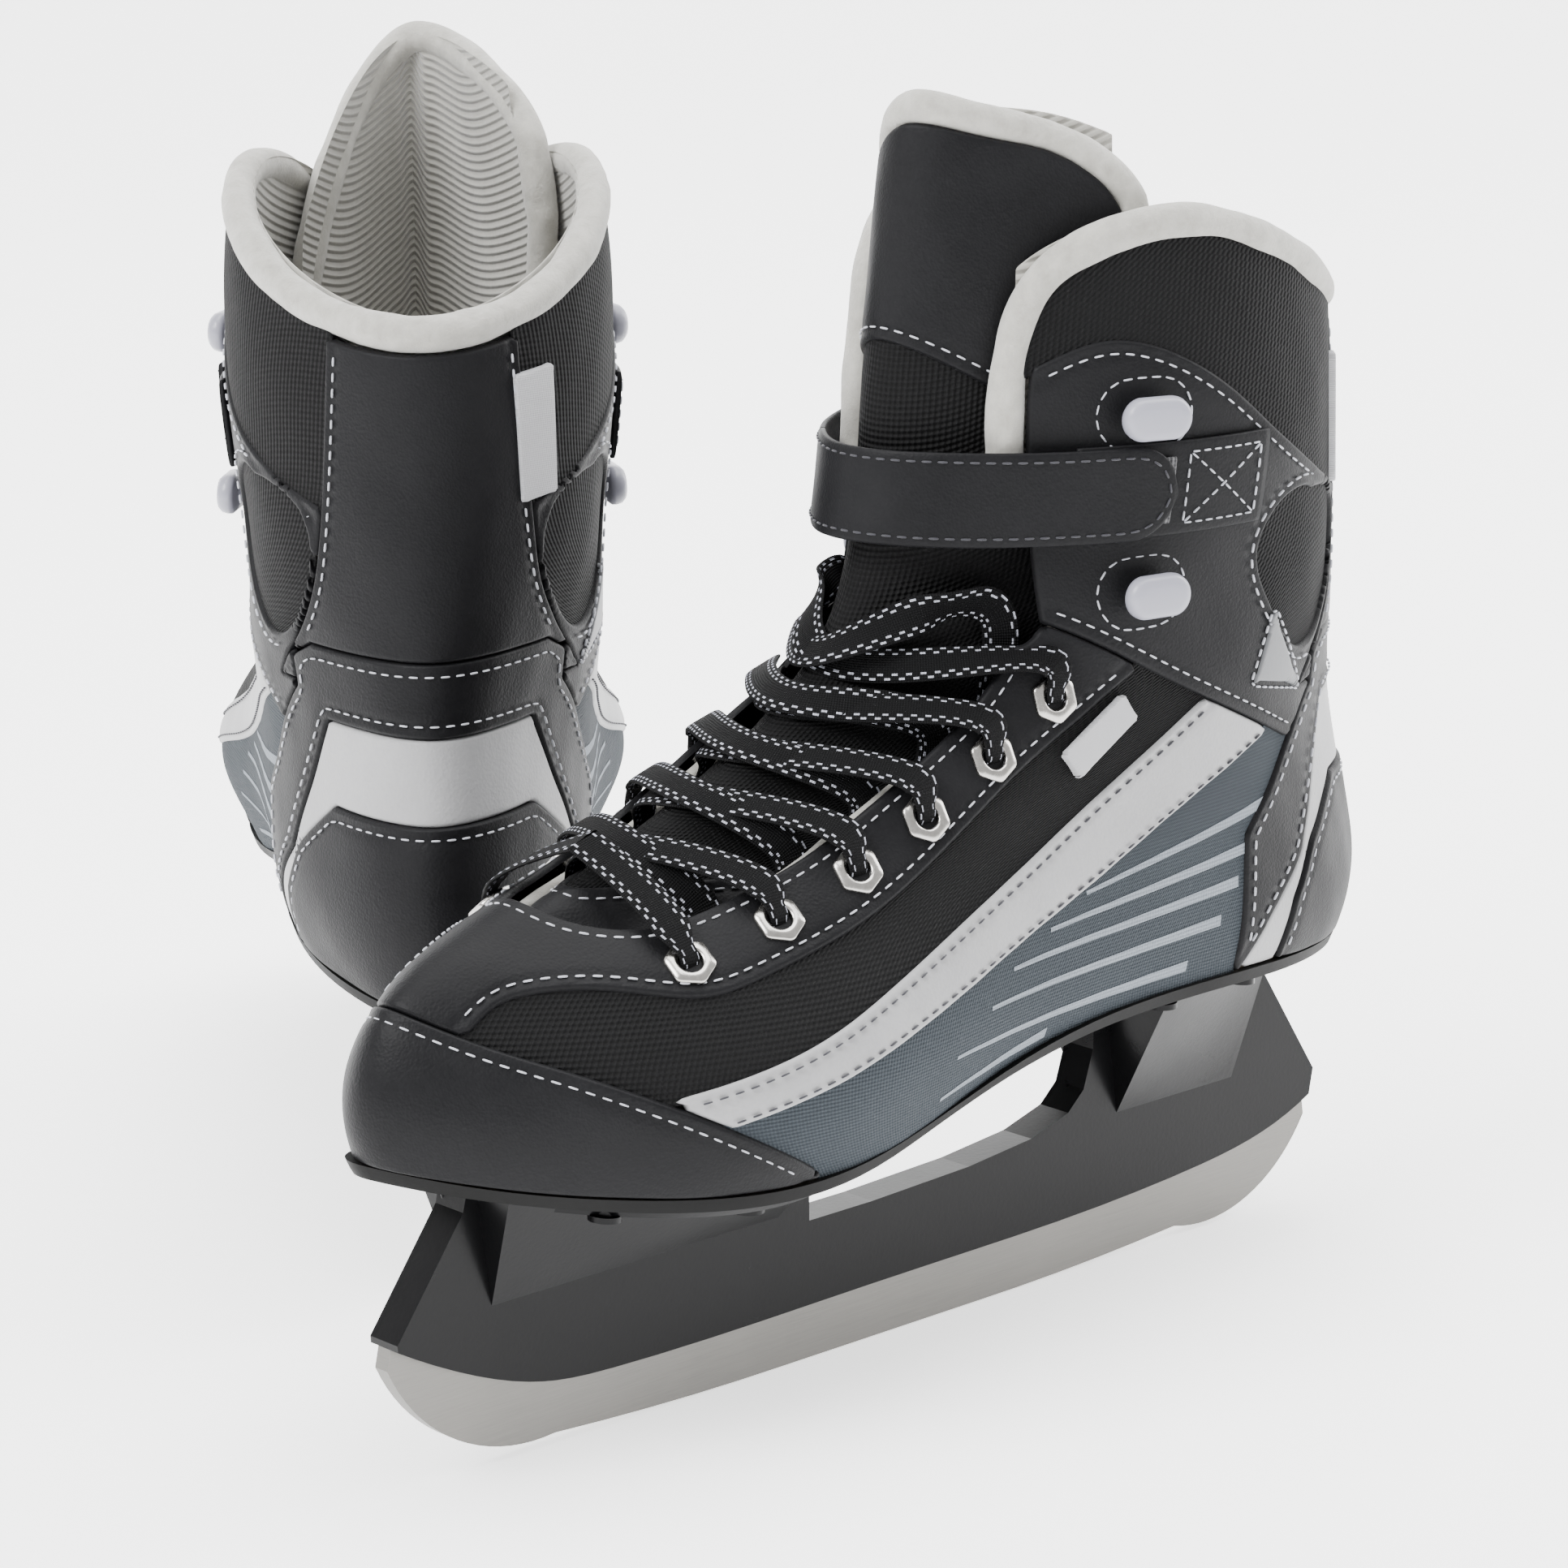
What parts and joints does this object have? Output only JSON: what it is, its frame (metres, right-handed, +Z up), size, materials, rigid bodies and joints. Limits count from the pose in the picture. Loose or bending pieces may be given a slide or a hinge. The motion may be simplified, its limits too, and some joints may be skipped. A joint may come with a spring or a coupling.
{
  "type": "ice skates",
  "caption": "Pair of padded lace-up ice skates with plastic blade holders, steel hockey-style blades, speed hooks and a closure strap round each ankle.",
  "frame": {"origin": "on the ice, under the middle of the left skate's blade", "axes": "-X towards the left skate's toe, -Y to its outer side, +Z up"},
  "size_m": [0.2927, 0.3665, 0.275],
  "materials": {
    "blade_steel": "ground along its length",
    "holder_plastic": "satin moulded plastic with glossy edges",
    "rivet_steel": "plain",
    "sole_rubber": "matt",
    "board_fibre": "fibre board",
    "footbed_foam": "cloth-faced foam",
    "fleece": "cream fleece, ribbed inside",
    "black_leather": "charcoal black grained synthetic leather with white stitching",
    "black_mesh": "black woven mesh",
    "silver_leather": "silver grey smooth synthetic leather",
    "slate_fabric": "slate grey woven fabric with light printed stripes",
    "lace_cord": "black flat braid with rows of white dots",
    "eyelet_steel": "bright plated hexagonal eyelets",
    "hook_plastic": "light grey moulded plastic",
    "hook_and_loop": "hook and loop",
    "label_cloth": "plain white woven label",
    "badge_vinyl": "plain grey triangle"
  },
  "bodies": {
    "left_skate": {"left_blade": "blade_steel", "left_blade_holder": "holder_plastic", "left_holder_rivets": "rivet_steel", "left_outsole": "sole_rubber", "left_insole_board": "board_fibre", "left_footbed": "footbed_foam", "left_boot_lining": "fleece", "left_toe_cap": "black_leather", "left_vamp": "black_leather", "left_mesh_quarters": "black_mesh", "left_silver_stripes": "silver_leather", "left_grey_quarters": "slate_fabric", "left_ankle_cuffs": "black_leather", "left_ankle_mesh": "black_mesh", "left_back_stay": "black_leather", "left_heel_band": "black_leather", "left_heel_panel": "silver_leather", "left_heel_patch": "black_leather", "left_tongue": "black_leather", "left_tongue_lining": "fleece", "left_lace": "lace_cord", "left_eyelets": "eyelet_steel", "left_speed_hooks": "hook_plastic", "left_strap_root": "black_leather", "left_strap_tab": "black_leather", "left_sewn_labels": "label_cloth", "left_ankle_badge": "badge_vinyl"},
    "left_strap_front": {"left_strap_front": "black_leather"},
    "left_strap_end": {"left_strap_end": "black_leather", "left_strap_hook_patch": "hook_and_loop"},
    "right_skate": {"right_blade": "blade_steel", "right_blade_holder": "holder_plastic", "right_holder_rivets": "rivet_steel", "right_outsole": "sole_rubber", "right_insole_board": "board_fibre", "right_footbed": "footbed_foam", "right_boot_lining": "fleece", "right_toe_cap": "black_leather", "right_vamp": "black_leather", "right_mesh_quarters": "black_mesh", "right_silver_stripes": "silver_leather", "right_grey_quarters": "slate_fabric", "right_ankle_cuffs": "black_leather", "right_ankle_mesh": "black_mesh", "right_back_stay": "black_leather", "right_heel_band": "black_leather", "right_heel_panel": "silver_leather", "right_heel_patch": "black_leather", "right_tongue": "black_leather", "right_tongue_lining": "fleece", "right_lace": "lace_cord", "right_eyelets": "eyelet_steel", "right_speed_hooks": "hook_plastic", "right_strap_root": "black_leather", "right_strap_tab": "black_leather", "right_sewn_labels": "label_cloth", "right_ankle_badge": "badge_vinyl"},
    "right_strap_front": {"right_strap_front": "black_leather"},
    "right_strap_end": {"right_strap_end": "black_leather", "right_strap_hook_patch": "hook_and_loop"}
  },
  "joints": [
    {"name": "right_skate_lift", "type": "slide", "parent": "left_skate", "child": "right_skate", "axis": [0, 0, 1], "range_m": [0, 0.35]},
    {"name": "left_strap_open", "type": "hinge", "parent": "left_skate", "child": "left_strap_front", "pos_m": [0.04975, 0.0469, 0.1915], "axis": [0, 0, -1], "range_deg": [0, 60]},
    {"name": "left_strap_peel", "type": "hinge", "parent": "left_strap_front", "child": "left_strap_end", "pos_m": [0.01425, -0.03088, 0.1915], "axis": [0, 0, -1], "range_deg": [0, 60]},
    {"name": "right_strap_open", "type": "hinge", "parent": "right_skate", "child": "right_strap_front", "pos_m": [-0.03557, 0.18556, 0.1915], "axis": [0, 0, 1], "range_deg": [0, 60]},
    {"name": "right_strap_peel", "type": "hinge", "parent": "right_strap_front", "child": "right_strap_end", "pos_m": [0.04761, 0.16579, 0.1915], "axis": [0, 0, 1], "range_deg": [0, 60]}
  ],
  "couplings": [
    {"joint": "left_strap_peel", "follows": "left_strap_open", "ratio": 1},
    {"joint": "right_strap_peel", "follows": "right_strap_open", "ratio": 1}
  ]
}
